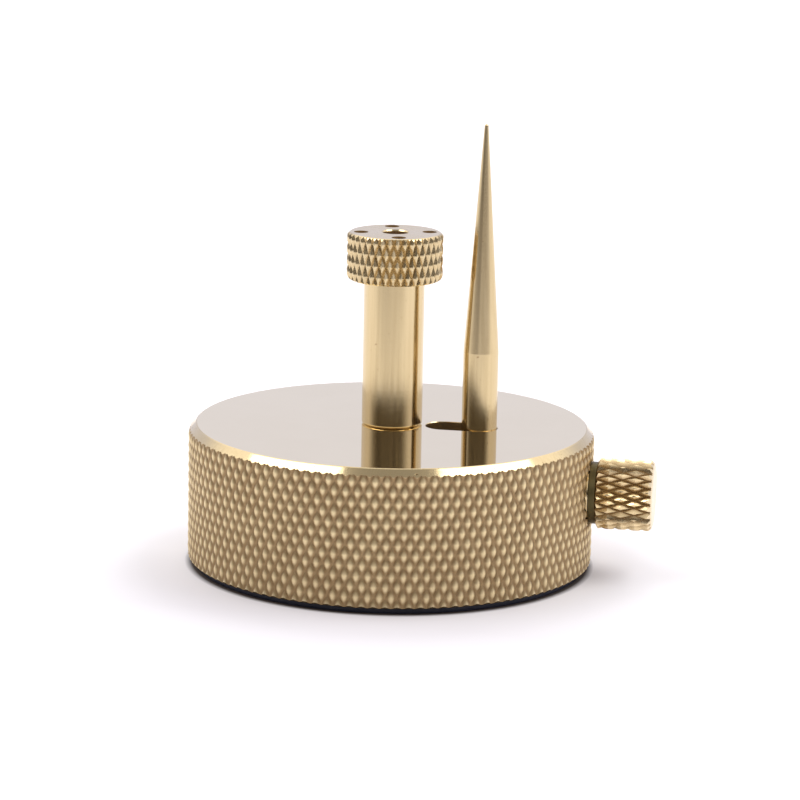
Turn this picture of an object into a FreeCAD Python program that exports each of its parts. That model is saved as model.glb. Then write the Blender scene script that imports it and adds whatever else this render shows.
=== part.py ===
import FreeCAD, Part
import math
import os

import Sketcher

# An adjustable balance stand for watch repair, all brass. A heavy round base carries a column with a
# turning head at its centre. A taper pin stands on a block that slides in a radial channel of the base,
# and a lead screw with a knurled knob on the rim moves the block.
#
# Frame: +Z up, +X from the column towards the knob. The origin is where the column's axis meets the
# surface that the pad rests on. Knurled surfaces are plain here, at the radius over their points.

# Driving dimensions in millimetres: name, value, what it is.
SIZES = [
    ("pad_thickness", 0.6, "pad under the base"),
    ("pad_inset", 0.7, "from the base's side in to the pad's edge"),
    ("base_radius", 20.0, "base, over the rim's knurl"),
    ("base_height", 13.4, "base, from the pad to its top face"),
    ("top_chamfer", 0.8, "chamfer round the top face"),
    ("foot_chamfer", 0.25, "chamfer round the base's lower edge"),
    ("top_wall", 2.6, "from the channel's roof to the top face"),
    ("channel_margin", 0.2, "channel's inner end, past the slot's inner end"),
    ("slot_to_column", 0.4, "slot's inner end, from the column's side"),
    ("pin_radius", 1.745, "taper pin's plain part"),
    ("pin_distance", 8.68, "pin's axis from the column's axis, at the slot's outer end"),
    ("pin_plain_height", 7.65, "pin's plain part above the top face"),
    ("pin_height", 29.95, "pin's tip above the top face"),
    ("pin_tip_radius", 0.2, "pin's blunt tip"),
    ("pin_stub_radius", 1.0, "threaded stub under the pin"),
    ("pin_stub_length", 2.5, "threaded stub under the pin"),
    ("pin_seat_depth", 1.2, "from the top face down to the boss that the pin stands on"),
    ("block_width", 7.0, "slider block across the channel"),
    ("block_inner", 2.4, "slider block, from the pin's axis towards the column"),
    ("block_outer", 3.4, "slider block, from the pin's axis towards the knob"),
    ("cover_radius", 15.0, "bottom cover"),
    ("cover_thickness", 2.4, "bottom cover"),
    ("cover_screw_circle", 12.0, "radius of the circle that the cover's screws are on"),
    ("cover_screw_radius", 1.0, "cover screw's thread"),
    ("cover_screw_length", 5.0, "cover screw, from its head's face to its tip"),
    ("cover_head_radius", 1.9, "cover screw's countersunk head"),
    ("screw_drop", 5.9, "lead screw's axis below the top face"),
    ("thread_radius", 1.45, "lead screw's thread"),
    ("journal_radius", 2.0, "lead screw's journal in the base wall"),
    ("groove_radius", 1.5, "bottom of the clip's groove"),
    ("shaft_radius", 1.5, "lead screw's shaft inside the knob"),
    ("shaft_length", 4.6, "lead screw's shaft inside the knob"),
    ("clip_radius", 2.75, "retaining clip and its washer"),
    ("clip_thickness", 0.4, "retaining clip"),
    ("clip_mouth", 2.2, "width of the clip's mouth"),
    ("clip_shoulder", 0.25, "journal left between the thread and the clip's groove"),
    ("block_gap", 0.1, "between the journal's shoulder and the block at the slot's outer end"),
    ("screw_tip_gap", 0.25, "between the lead screw's tip and the channel's inner end"),
    ("shim_thickness", 0.2, "washer behind the clip"),
    ("spot_depth", 0.5, "spot face below the rim"),
    ("spot_radius", 3.7, "spot face"),
    ("thrust_thickness", 0.3, "washer between the spot face and the knob's neck"),
    ("neck_radius", 3.05, "knob's neck and the washer under it"),
    ("neck_gap", 0.8, "knurled part of the knob, from the rim"),
    ("knob_radius", 3.5, "knob, over its knurl"),
    ("knob_length", 5.3, "knurled part of the knob"),
    ("knob_chamfer", 0.4, "chamfer at both ends of the knob's knurl"),
    ("grub_station", 2.4, "grub screw's axis, from the knob's knurled part's start"),
    ("grub_radius", 1.0, "knob's grub screw"),
    ("grub_length", 1.7, "knob's grub screw"),
    ("column_radius", 2.98, "column"),
    ("column_height", 14.4, "column, from the top face to its shoulder under the head"),
    ("column_edge", 0.2, "chamfer round the column's foot"),
    ("spigot_radius", 2.2, "column's spigot in the base"),
    ("spigot_length", 3.0, "column's spigot in the base"),
    ("column_thread_gap", 1.6, "between the column screw's tip and the bottom of its tapped hole"),
    ("fixing_radius", 1.5, "column screw's thread"),
    ("fixing_length", 10.0, "column screw's thread"),
    ("fixing_head_radius", 2.5, "column screw's head"),
    ("fixing_head_height", 1.8, "column screw's head"),
    ("fixing_seat", 2.4, "column screw's seat above the cover"),
    ("head_radius", 4.7, "head, over its knurl"),
    ("head_thickness", 4.62, "head"),
    ("head_chamfer", 0.25, "chamfer at both ends of the head's knurl"),
    ("head_journal_radius", 2.0, "journal on top of the column"),
    ("head_journal_length", 2.2, "journal on top of the column"),
    ("ring_height", 1.2, "snap ring above the column's shoulder"),
    ("ring_wire_radius", 0.22, "snap ring's wire"),
    ("centre_hole_radius", 1.25, "hole through the middle of the head"),
    ("centre_hole_sink", 0.25, "countersink of the centre hole"),
    ("journal_wall", 0.5, "wall round the column's blind hole, under the head's centre hole"),
    ("column_hole_depth", 4.0, "blind hole in the column"),
    ("small_hole_radius", 0.7, "four small holes in the head"),
    ("small_hole_circle", 3.35, "radius of the circle that they are on"),
    ("small_hole_depth", 3.2, "four small holes in the head"),
    ("small_hole_sink", 0.12, "countersink of the small holes"),
    ("drive_slot_width", 0.5, "screwdriver slots"),
    ("drive_slot_depth", 0.5, "screwdriver slots"),
    ("running_clearance", 0.03, "all round a turning or sliding fit"),
    ("slot_clearance", 0.055, "between the pin and the slot, each side"),
    ("fixed_clearance", 0.02, "all round a screw, spigot or plate that doesn't move"),
    ("head_room", 0.4, "all round the column screw's head"),
    ("shaft_end_gap", 0.1, "between the shaft's end and the knob's blind bore"),
    ("stub_end_gap", 0.1, "between the pin's stub and the bottom of its hole"),
    ("screw_end_gap", 0.6, "between the cover screws' tips and the bottom of their holes"),
    ("head_edge", 0.2, "chamfer round the column screw's head"),
    ("tip_chamfer", 0.3, "chamfer at the tips of the screws"),
    ("past", 1.0, "how far a cut runs past the face that it goes through"),
]

# Places that follow from the driving dimensions.
PLACES = {
    "top_face": "pad_thickness + base_height",
    "cover_face": "pad_thickness + cover_thickness",
    "channel_roof": "top_face - top_wall",
    "slot_half_width": "pin_radius + slot_clearance",
    "slot_inner_end": "column_radius + slot_to_column",
    "channel_inner_end": "slot_inner_end - channel_margin",
    "screw_axis": "top_face - screw_drop",
    "groove_start": "pin_distance + block_outer + block_gap + clip_shoulder",
    "groove_width": "clip_thickness + 2 * running_clearance",
    "channel_outer_end": "groove_start + groove_width + shim_thickness + running_clearance",
    "spot_face": "base_radius - spot_depth",
    "neck_start": "spot_face + thrust_thickness + 2 * running_clearance",
    "screw_reach": "groove_start - channel_inner_end - screw_tip_gap",
    "journal_end": "neck_start - groove_start",
    "neck_length": "base_radius + neck_gap - neck_start",
    "column_shoulder": "top_face + column_height",
    "fixing_tip": "cover_face + fixing_seat + fixing_length",
    "column_hole_radius": "head_journal_radius - journal_wall",
    "column_thread_depth": "fixing_tip + column_thread_gap - (top_face - spigot_length)",
}

COVER_SCREW_COUNT = 4
COVER_SCREW_ANGLE = 45
SMALL_HOLE_COUNT = 4
HEAD_REST_ANGLE = 14.8
RING_ANGLE = 300
ALONG_X = FreeCAD.Rotation(FreeCAD.Vector(0, 1, 0), 90)
DOWNWARD = FreeCAD.Rotation(FreeCAD.Vector(1, 0, 0), 180)

doc = FreeCAD.newDocument("balance_stand")
sheet = doc.addObject("Spreadsheet::Sheet", "Sizes")
for row, (name, value, meaning) in enumerate(SIZES, start=1):
    sheet.set(f"A{row}", meaning)
    sheet.set(f"B{row}", str(value))
    sheet.setAlias(f"B{row}", name)
doc.recompute()
SIZE_NAMES = {name for name, value, meaning in SIZES}


def formula(text):
    """The expression for a text of size and place names, such as "top_face - top_wall"."""
    words = []
    for word in text.replace("(", "( ").replace(")", " )").split():
        if word in SIZE_NAMES:
            word = "Sizes." + word
        elif word in PLACES:
            word = "(" + formula(PLACES[word]) + ")"
        words.append(word)
    return " ".join(words)


def new_piece(label, x="0", y="0", z="0", rotation=FreeCAD.Rotation()):
    """A body whose own origin is placed at x, y, z of the stand."""
    body = doc.addObject("PartDesign::Body", label)
    body.Placement = FreeCAD.Placement(FreeCAD.Vector(), rotation)
    body.setExpression("Placement.Base.x", formula(x))
    body.setExpression("Placement.Base.y", formula(y))
    body.setExpression("Placement.Base.z", formula(z))
    return body


def origin_feature(body, role):
    return next(item for item in body.Origin.OriginFeatures if item.Role == role)


def new_sketch(body, plane, offset="0"):
    """An empty sketch on one of the body's origin planes, moved along the plane's normal."""
    sketch = body.newObject("Sketcher::SketchObject", body.Label + "_sketch")
    sketch.AttachmentSupport = [(origin_feature(body, plane), "")]
    sketch.MapMode = "FlatFace"
    sketch.setExpression("AttachmentOffset.Base.z", formula(offset))
    return sketch


def hold(sketch, geometry, vertex, across, up):
    """Holds a vertex at a distance across and up from the sketch's origin."""
    drawn = sketch.getPoint(geometry, vertex)
    for kind, axis, start, distance in (("DistanceX", -2, drawn.x, across), ("DistanceY", -1, drawn.y, up)):
        if distance == "0":
            sketch.addConstraint(Sketcher.Constraint("PointOnObject", geometry, vertex, axis))
            continue
        constraint = Sketcher.Constraint(kind, -1, 1, geometry, vertex, start)
        number = sketch.addConstraint(constraint)
        sketch.setExpression(f"Constraints[{number}]", formula(distance))


def add_outline(sketch, corners):
    """A closed outline of straight lines. Each corner is a pair of distances, across and up."""
    count = len(corners)
    turns = [2 * math.pi * index / count for index in range(count)]
    starts = [FreeCAD.Vector(3 + math.cos(turn), 3 + math.sin(turn), 0) for turn in turns]
    for index in range(count):
        sketch.addGeometry(Part.LineSegment(starts[index], starts[(index + 1) % count]))
    for index in range(count):
        sketch.addConstraint(Sketcher.Constraint("Coincident", index, 2, (index + 1) % count, 1))
    for index, (across, up) in enumerate(corners):
        hold(sketch, index, 1, across, up)


def add_circle(sketch, across, up, radius):
    circle = Part.Circle(FreeCAD.Vector(1, 1, 0), FreeCAD.Vector(0, 0, 1), 1)
    geometry = sketch.addGeometry(circle)
    hold(sketch, geometry, 3, across, up)
    number = sketch.addConstraint(Sketcher.Constraint("Radius", geometry, 1.0))
    sketch.setExpression(f"Constraints[{number}]", formula(radius))


def add_rectangle(sketch, low, high):
    """A rectangle between two corners, each a pair of distances, across and up."""
    corners = [(low[0], low[1]), (high[0], low[1]), (high[0], high[1]), (low[0], high[1])]
    add_outline(sketch, corners)


def turn(body, corners, angle=360):
    """Turns an outline of (radius, height) corners about the body's own Z axis."""
    sketch = new_sketch(body, "XZ_Plane")
    add_outline(sketch, corners)
    return revolve(body, "PartDesign::Revolution", sketch, angle)


def revolve(body, kind, sketch, angle=360):
    feature = body.newObject(kind, body.Label + "_turned")
    feature.Profile = sketch
    feature.ReferenceAxis = (origin_feature(body, "Z_Axis"), [""])
    feature.Angle = angle
    doc.recompute()
    return feature


def turn_groove(body, radius, height, groove_radius):
    """Turns a round-bottomed groove about the body's own Z axis."""
    before = body.Shape.Volume
    sketch = new_sketch(body, "XZ_Plane")
    add_circle(sketch, radius, height, groove_radius)
    feature = revolve(body, "PartDesign::Groove", sketch)
    check_cut(body, before)
    return feature


def pad(body, sketch, length):
    feature = body.newObject("PartDesign::Pad", body.Label + "_pad")
    feature.Profile = sketch
    feature.setExpression("Length", formula(length))
    doc.recompute()
    return feature


def pocket(body, sketch, length, along_normal):
    """Cuts from the sketch, along its plane's normal or against it."""
    before = body.Shape.Volume
    feature = body.newObject("PartDesign::Pocket", body.Label + "_pocket")
    feature.Profile = sketch
    feature.Reversed = along_normal
    feature.setExpression("Length", formula(length))
    doc.recompute()
    check_cut(body, before)
    return feature


def bore(body, plane, start, centre, radius, length, along_normal):
    """A round hole from a plane's offset, with its centre at a pair of distances on that plane."""
    sketch = new_sketch(body, plane, start)
    add_circle(sketch, centre[0], centre[1], radius)
    return pocket(body, sketch, length, along_normal)


def check_cut(body, volume_before):
    if body.Shape.Volume > volume_before - 1e-4:
        raise RuntimeError(f"a cut in {body.Label} took nothing away")


def repeat_round(body, features, count):
    """Repeats features evenly about the body's own Z axis."""
    pattern = body.newObject("PartDesign::PolarPattern", body.Label + "_pattern")
    pattern.Originals = features
    pattern.Axis = (origin_feature(body, "Z_Axis"), [""])
    pattern.Angle = 360
    pattern.Occurrences = count
    body.Tip = pattern
    doc.recompute()
    return pattern


def countersunk_hole(body, sketch, radius, sink_radius, depth, point):
    """A countersunk hole at each circle of the sketch, cut against its plane's normal."""
    before = body.Shape.Volume
    doc.recompute()
    hole = body.newObject("PartDesign::Hole", body.Label + "_hole")
    hole.Profile = sketch
    hole.DepthType = "Dimension"
    hole.DrillPoint = point
    hole.HoleCutType = "Countersink"
    hole.HoleCutCustomValues = True
    hole.HoleCutCountersinkAngle = 90
    hole.setExpression("Diameter", formula(f"2 * ( {radius} )"))
    hole.setExpression("HoleCutDiameter", formula(f"2 * ( {sink_radius} )"))
    hole.setExpression("Depth", formula(depth))
    doc.recompute()
    check_cut(body, before)
    return hole


def drive_slot(body, face, half_length, along_normal):
    """A screwdriver slot across the body's own Z axis, cut from a face."""
    sketch = new_sketch(body, "XY_Plane", face)
    low = (f"0 - ( {half_length} )", "0 - drive_slot_width / 2")
    high = (half_length, "drive_slot_width / 2")
    add_rectangle(sketch, low, high)
    return pocket(body, sketch, "drive_slot_depth", along_normal)


def screw_circle_place(angle):
    """Distances across and up to a place on the cover screws' circle."""
    radians = math.radians(angle)
    across = f"cover_screw_circle * {math.cos(radians):.9f}"
    up = f"cover_screw_circle * {math.sin(radians):.9f}"
    return across, up


def rubber_pad():
    body = new_piece("rubber_pad")
    sketch = new_sketch(body, "XY_Plane")
    add_circle(sketch, "0", "0", "base_radius - pad_inset")
    pad(body, sketch, "pad_thickness")
    return body


def base_body():
    """Turned base with its channel and cover recess below, slot and column seat above."""
    body = new_piece("base_body", z="pad_thickness")
    turn(body, [
        ("0", "0"),
        ("base_radius - foot_chamfer", "0"),
        ("base_radius", "foot_chamfer"),
        ("base_radius", "base_height - top_chamfer"),
        ("base_radius - top_chamfer", "base_height"),
        ("0", "base_height"),
    ])
    bore(body, "XY_Plane", "0", ("0", "0"), "cover_radius + fixed_clearance", "cover_thickness", True)

    channel = new_sketch(body, "XY_Plane", "cover_thickness")
    half_width = "block_width / 2 + running_clearance"
    inner_corner = ("channel_inner_end", f"0 - ( {half_width} )")
    add_rectangle(channel, inner_corner, ("channel_outer_end", half_width))
    pocket(body, channel, "channel_roof - cover_face", True)
    cut_slot(body)

    bore(body, "XY_Plane", "base_height", ("0", "0"), "spigot_radius + fixed_clearance", "spigot_length", False)
    bore(body, "XY_Plane", "0", ("0", "0"), "fixing_radius + fixed_clearance", "base_height", True)
    head_room = "fixing_head_radius + head_room"
    bore(body, "XY_Plane", "0", ("0", "0"), head_room, "cover_thickness + fixing_seat", True)

    axis = ("0", "screw_axis - pad_thickness")
    journal = "journal_radius + running_clearance"
    bore(body, "YZ_Plane", "groove_start", axis, journal, "base_radius", True)
    bore(body, "YZ_Plane", "spot_face", axis, "spot_radius", "base_radius", True)

    thread = "cover_screw_radius + fixed_clearance"
    place = screw_circle_place(COVER_SCREW_ANGLE)
    tapped = bore(body, "XY_Plane", "0", place, thread, "cover_screw_length + screw_end_gap", True)
    repeat_round(body, [tapped], COVER_SCREW_COUNT)
    return body


def cut_slot(body):
    """The round-ended slot that the pin stands in, from the channel's roof up through the top."""
    sketch = new_sketch(body, "XY_Plane", "channel_roof - pad_thickness")
    upright = FreeCAD.Vector(0, 0, 1)
    quarter = math.pi / 2
    inner_circle = Part.Circle(FreeCAD.Vector(1, 0, 0), upright, 1)
    outer_circle = Part.Circle(FreeCAD.Vector(4, 0, 0), upright, 1)
    inner_end = sketch.addGeometry(Part.ArcOfCircle(inner_circle, quarter, 3 * quarter))
    outer_end = sketch.addGeometry(Part.ArcOfCircle(outer_circle, -quarter, quarter))
    near = sketch.addGeometry(Part.LineSegment(FreeCAD.Vector(1, -1, 0), FreeCAD.Vector(4, -1, 0)))
    far = sketch.addGeometry(Part.LineSegment(FreeCAD.Vector(4, 1, 0), FreeCAD.Vector(1, 1, 0)))
    for line, vertex, arc, arc_vertex in (
        (near, 1, inner_end, 2),
        (near, 2, outer_end, 1),
        (far, 1, outer_end, 2),
        (far, 2, inner_end, 1),
    ):
        sketch.addConstraint(Sketcher.Constraint("Tangent", line, vertex, arc, arc_vertex))
    hold(sketch, inner_end, 3, "slot_inner_end + slot_half_width", "0")
    hold(sketch, outer_end, 3, "pin_distance", "0")
    for end in (inner_end, outer_end):
        number = sketch.addConstraint(Sketcher.Constraint("Radius", end, 1.0))
        sketch.setExpression(f"Constraints[{number}]", formula("slot_half_width"))
    return pocket(body, sketch, "top_wall + past", True)


def bottom_cover():
    body = new_piece("bottom_cover", z="cover_face", rotation=DOWNWARD)
    sketch = new_sketch(body, "XY_Plane")
    add_circle(sketch, "0", "0", "cover_radius")
    pad(body, sketch, "cover_thickness")
    places = new_sketch(body, "XY_Plane", "cover_thickness")
    across, up = screw_circle_place(COVER_SCREW_ANGLE)
    add_circle(places, across, up, "cover_screw_radius + fixed_clearance")
    sink = "cover_head_radius + fixed_clearance"
    shank = "cover_screw_radius + fixed_clearance"
    hole = countersunk_hole(body, places, shank, sink, "cover_thickness + past", "Flat")
    repeat_round(body, [hole], COVER_SCREW_COUNT)
    return body


def cover_screws():
    """Four slotted countersunk screws, made as one and repeated about the stand's axis."""
    turned_to = FreeCAD.Rotation(FreeCAD.Vector(0, 0, 1), COVER_SCREW_ANGLE)
    body = new_piece("cover_screws", z="pad_thickness", rotation=turned_to)
    body.AllowCompound = True
    sketch = new_sketch(body, "XZ_Plane")
    centre = "cover_screw_circle"
    cone = "cover_head_radius - cover_screw_radius"
    add_outline(sketch, [
        (centre, "0"),
        (f"{centre} + cover_head_radius", "0"),
        (f"{centre} + cover_screw_radius", cone),
        (f"{centre} + cover_screw_radius", "cover_screw_length - tip_chamfer"),
        (f"{centre} + cover_screw_radius - tip_chamfer", "cover_screw_length"),
        (centre, "cover_screw_length"),
    ])
    screw = body.newObject("PartDesign::Revolution", "cover_screw_turned")
    screw.Profile = sketch
    screw.ReferenceAxis = (sketch, ["Edge6"])
    screw.Angle = 360
    doc.recompute()
    slot = new_sketch(body, "XY_Plane")
    half_length = "cover_head_radius + past"
    low = (f"{centre} - ( {half_length} )", "0 - drive_slot_width / 2")
    high = (f"{centre} + {half_length}", "drive_slot_width / 2")
    add_rectangle(slot, low, high)
    cut = pocket(body, slot, "drive_slot_depth", True)
    repeat_round(body, [screw, cut], COVER_SCREW_COUNT)
    return body


def column_post():
    """Column with a spigot below, and above its shoulder the journal that the head turns on."""
    body = new_piece("column_post", z="top_face")
    turn(body, [
        ("0", "0 - spigot_length"),
        ("spigot_radius - column_edge", "0 - spigot_length"),
        ("spigot_radius", "column_edge - spigot_length"),
        ("spigot_radius", "0"),
        ("column_radius - column_edge", "0"),
        ("column_radius", "column_edge"),
        ("column_radius", "column_height"),
        ("head_journal_radius", "column_height"),
        ("head_journal_radius", "column_height + head_journal_length"),
        ("0", "column_height + head_journal_length"),
    ])
    ring_groove = "ring_wire_radius + running_clearance"
    turn_groove(body, "head_journal_radius", "column_height + ring_height", ring_groove)
    journal_top = "column_height + head_journal_length"
    bore(body, "XY_Plane", journal_top, ("0", "0"), "column_hole_radius", "column_hole_depth", False)
    thread = "fixing_radius + fixed_clearance"
    bore(body, "XY_Plane", "0 - spigot_length", ("0", "0"), thread, "column_thread_depth", True)
    return body


def column_screw():
    """Slotted cheese-head screw that holds the column from below."""
    body = new_piece("column_screw", z="cover_face + fixing_seat")
    turn(body, [
        ("0", "0 - fixing_head_height"),
        ("fixing_head_radius - head_edge", "0 - fixing_head_height"),
        ("fixing_head_radius", "head_edge - fixing_head_height"),
        ("fixing_head_radius", "0"),
        ("fixing_radius", "0"),
        ("fixing_radius", "fixing_length - tip_chamfer"),
        ("fixing_radius - tip_chamfer", "fixing_length"),
        ("0", "fixing_length"),
    ])
    drive_slot(body, "0 - fixing_head_height", "fixing_head_radius + past", True)
    return body


def turret_head():
    """Head that turns on the column's journal, with a centre hole and four small holes."""
    turned_to = FreeCAD.Rotation(FreeCAD.Vector(0, 0, 1), HEAD_REST_ANGLE)
    body = new_piece("turret_head", z="column_shoulder + running_clearance", rotation=turned_to)
    journal = "head_journal_radius + running_clearance"
    turn(body, [
        (journal, "0"),
        ("head_radius - head_chamfer", "0"),
        ("head_radius", "head_chamfer"),
        ("head_radius", "head_thickness - head_chamfer"),
        ("head_radius - head_chamfer", "head_thickness"),
        ("centre_hole_radius + centre_hole_sink", "head_thickness"),
        ("centre_hole_radius", "head_thickness - centre_hole_sink"),
        ("centre_hole_radius", "head_journal_length + running_clearance"),
        (journal, "head_journal_length + running_clearance"),
    ])
    ring_groove = "ring_wire_radius + running_clearance"
    turn_groove(body, journal, "ring_height - running_clearance", ring_groove)
    places = new_sketch(body, "XY_Plane", "head_thickness")
    add_circle(places, "small_hole_circle", "0", "small_hole_radius")
    sink = "small_hole_radius + small_hole_sink"
    hole = countersunk_hole(body, places, "small_hole_radius", sink, "small_hole_depth", "Flat")
    repeat_round(body, [hole], SMALL_HOLE_COUNT)
    return body


def head_ring():
    """Open wire ring, sprung into the grooves of the journal and the head."""
    body = new_piece("head_ring", z="column_shoulder + ring_height")
    sketch = new_sketch(body, "XZ_Plane")
    add_circle(sketch, "head_journal_radius + running_clearance / 2", "0", "ring_wire_radius")
    revolve(body, "PartDesign::Revolution", sketch, RING_ANGLE)
    return body


def taper_pin():
    """Round pin that runs out in a needle cone, with a threaded stub below."""
    body = new_piece("taper_pin", x="pin_distance", z="top_face - pin_seat_depth")
    turn(body, [
        ("0", "0 - pin_stub_length"),
        ("pin_stub_radius", "0 - pin_stub_length"),
        ("pin_stub_radius", "0"),
        ("pin_radius", "0"),
        ("pin_radius", "pin_seat_depth + pin_plain_height"),
        ("pin_tip_radius", "pin_seat_depth + pin_height - pin_tip_radius / 2"),
        ("pin_tip_radius / 2", "pin_seat_depth + pin_height"),
        ("0", "pin_seat_depth + pin_height"),
    ])
    return body


def slider_block():
    """Block in the channel with a round boss in the slot, tapped for the lead screw and the pin."""
    body = new_piece("slider_block", x="pin_distance", z="cover_face + running_clearance")
    block_height = "channel_roof - cover_face - 2 * running_clearance"
    block = new_sketch(body, "XY_Plane")
    add_rectangle(block, ("0 - block_inner", "0 - block_width / 2"), ("block_outer", "block_width / 2"))
    pad(body, block, block_height)
    seat = "top_face - pin_seat_depth - cover_face - running_clearance"
    boss = new_sketch(body, "XY_Plane")
    add_circle(boss, "0", "0", "pin_radius")
    pad(body, boss, seat)
    stub_hole = "pin_stub_radius + fixed_clearance"
    bore(body, "XY_Plane", seat, ("0", "0"), stub_hole, "pin_stub_length + stub_end_gap", False)
    thread = "thread_radius + running_clearance"
    axis = ("0", "screw_axis - cover_face - running_clearance")
    bore(body, "YZ_Plane", "0 - block_inner - past", axis, thread, "block_inner + block_outer + 2 * past", True)
    return body


def adjusting_screw():
    """Lead screw. Its own Z runs out along the stand's X, from the start of the clip's groove."""
    body = new_piece("adjusting_screw", x="groove_start", z="screw_axis", rotation=ALONG_X)
    turn(body, [
        ("0", "0 - screw_reach"),
        ("thread_radius - tip_chamfer", "0 - screw_reach"),
        ("thread_radius", "tip_chamfer - screw_reach"),
        ("thread_radius", "0 - clip_shoulder"),
        ("journal_radius", "0 - clip_shoulder"),
        ("journal_radius", "0"),
        ("groove_radius", "0"),
        ("groove_radius", "groove_width"),
        ("journal_radius", "groove_width"),
        ("journal_radius", "journal_end"),
        ("shaft_radius", "journal_end"),
        ("shaft_radius", "journal_end + shaft_length"),
        ("0", "journal_end + shaft_length"),
    ])
    return body


def adjusting_knob():
    """Thumb knob with its neck. Its own Z runs out along the stand's X."""
    body = new_piece("adjusting_knob", x="neck_start", z="screw_axis", rotation=ALONG_X)
    shaft = "shaft_radius + fixed_clearance"
    end = "neck_length + knob_length"
    turn(body, [
        (shaft, "0"),
        ("neck_radius", "0"),
        ("neck_radius", "neck_length"),
        ("knob_radius - knob_chamfer", "neck_length"),
        ("knob_radius", "neck_length + knob_chamfer"),
        ("knob_radius", f"{end} - knob_chamfer"),
        ("knob_radius - knob_chamfer", end),
        ("0", end),
        ("0", "shaft_length + shaft_end_gap"),
        (shaft, "shaft_length + shaft_end_gap"),
    ])
    place = ("0", "neck_length + grub_station")
    bore(body, "YZ_Plane", "0", place, "grub_radius + fixed_clearance", "knob_radius + past", True)
    return body


def knob_grub_screw():
    """Slotted grub screw, up against the shaft from below."""
    across = "neck_start + neck_length + grub_station"
    up = "screw_axis - shaft_radius - fixed_clearance"
    body = new_piece("knob_grub_screw", x=across, z=up, rotation=DOWNWARD)
    turn(body, [
        ("0", "0"),
        ("grub_radius - tip_chamfer", "0"),
        ("grub_radius", "tip_chamfer"),
        ("grub_radius", "grub_length"),
        ("0", "grub_length"),
    ])
    drive_slot(body, "grub_length", "grub_radius + past", False)
    return body


def washer(label, x, outer_radius, thickness):
    """A flat washer on the lead screw's journal, from x outwards."""
    body = new_piece(label, x=x, z="screw_axis", rotation=ALONG_X)
    inner_radius = "journal_radius + running_clearance"
    turn(body, [
        (inner_radius, "0"),
        (outer_radius, "0"),
        (outer_radius, thickness),
        (inner_radius, thickness),
    ])
    return body


def thrust_washer():
    return washer("thrust_washer", "spot_face + running_clearance", "neck_radius", "thrust_thickness")


def clip_washer():
    return washer("clip_washer", "groove_start + groove_width", "clip_radius", "shim_thickness")


def retaining_clip():
    """C-shaped clip in the lead screw's groove, with its mouth downwards."""
    x = "groove_start + running_clearance"
    body = new_piece("retaining_clip", x=x, z="screw_axis", rotation=ALONG_X)
    sketch = new_sketch(body, "XY_Plane")
    add_circle(sketch, "0", "0", "clip_radius")
    add_circle(sketch, "0", "0", "groove_radius + fixed_clearance")
    pad(body, sketch, "clip_thickness")
    mouth = new_sketch(body, "XY_Plane")
    add_rectangle(mouth, ("0", "0 - clip_mouth / 2"), ("clip_radius + past", "clip_mouth / 2"))
    pocket(body, mouth, "clip_thickness", True)
    return body


def check_document():
    """Stops if any object of the document failed, which a recompute alone doesn't report."""
    for item in doc.Objects:
        if "Invalid" in item.State or "Error" in item.State:
            raise RuntimeError(f"{item.Label} failed: {item.State}")


def check_piece(body, solids):
    shape = body.Shape
    if shape.isNull() or not shape.isValid() or len(shape.Solids) != solids:
        raise RuntimeError(f"{body.Label} has no sound shape")


def write_piece(body):
    body.Shape.exportStep(f"parts/{body.Label}.step")


PIECES = [
    rubber_pad,
    base_body,
    bottom_cover,
    cover_screws,
    column_post,
    column_screw,
    turret_head,
    head_ring,
    taper_pin,
    slider_block,
    adjusting_screw,
    adjusting_knob,
    knob_grub_screw,
    thrust_washer,
    clip_washer,
    retaining_clip,
]

bodies = [make_piece() for make_piece in PIECES]
doc.recompute()
check_document()
for body in bodies:
    check_piece(body, COVER_SCREW_COUNT if body.Label == "cover_screws" else 1)

os.makedirs("parts", exist_ok=True)
for body in bodies:
    write_piece(body)
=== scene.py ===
import math
from collections import namedtuple

import bmesh
import bpy
from mathutils import Matrix, Vector


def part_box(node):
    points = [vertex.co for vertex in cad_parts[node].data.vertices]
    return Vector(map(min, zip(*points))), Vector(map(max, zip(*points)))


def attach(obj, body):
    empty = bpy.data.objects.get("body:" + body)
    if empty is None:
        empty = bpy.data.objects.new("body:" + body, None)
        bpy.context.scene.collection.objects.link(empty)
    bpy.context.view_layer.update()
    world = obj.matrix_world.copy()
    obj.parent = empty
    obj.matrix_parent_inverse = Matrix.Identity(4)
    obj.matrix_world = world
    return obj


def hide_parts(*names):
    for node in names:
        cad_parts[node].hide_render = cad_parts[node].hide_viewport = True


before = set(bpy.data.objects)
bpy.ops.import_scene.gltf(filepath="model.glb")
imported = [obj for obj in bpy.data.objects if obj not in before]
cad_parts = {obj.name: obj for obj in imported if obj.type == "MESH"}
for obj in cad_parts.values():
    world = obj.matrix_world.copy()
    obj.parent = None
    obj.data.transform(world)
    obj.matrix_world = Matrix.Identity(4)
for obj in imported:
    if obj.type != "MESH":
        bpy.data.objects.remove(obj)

# An adjustable balance stand: turned and knurled brass on a rubber pad. All sizes are in metres.
MM = 0.001
TAU = 2 * math.pi

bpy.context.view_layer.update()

# Places and sizes that the CAD model gives.
pad_low, pad_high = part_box("rubber_pad")
base_low, base_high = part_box("base_body")
head_low, head_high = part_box("turret_head")
column_low, column_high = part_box("column_post")
pin_low, pin_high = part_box("taper_pin")
block_low, block_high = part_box("slider_block")
knob_low, knob_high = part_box("adjusting_knob")
ring_low, ring_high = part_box("head_ring")
screw_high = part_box("adjusting_screw")[1]
cover_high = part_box("bottom_cover")[1]
washer_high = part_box("clip_washer")[1]

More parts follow.
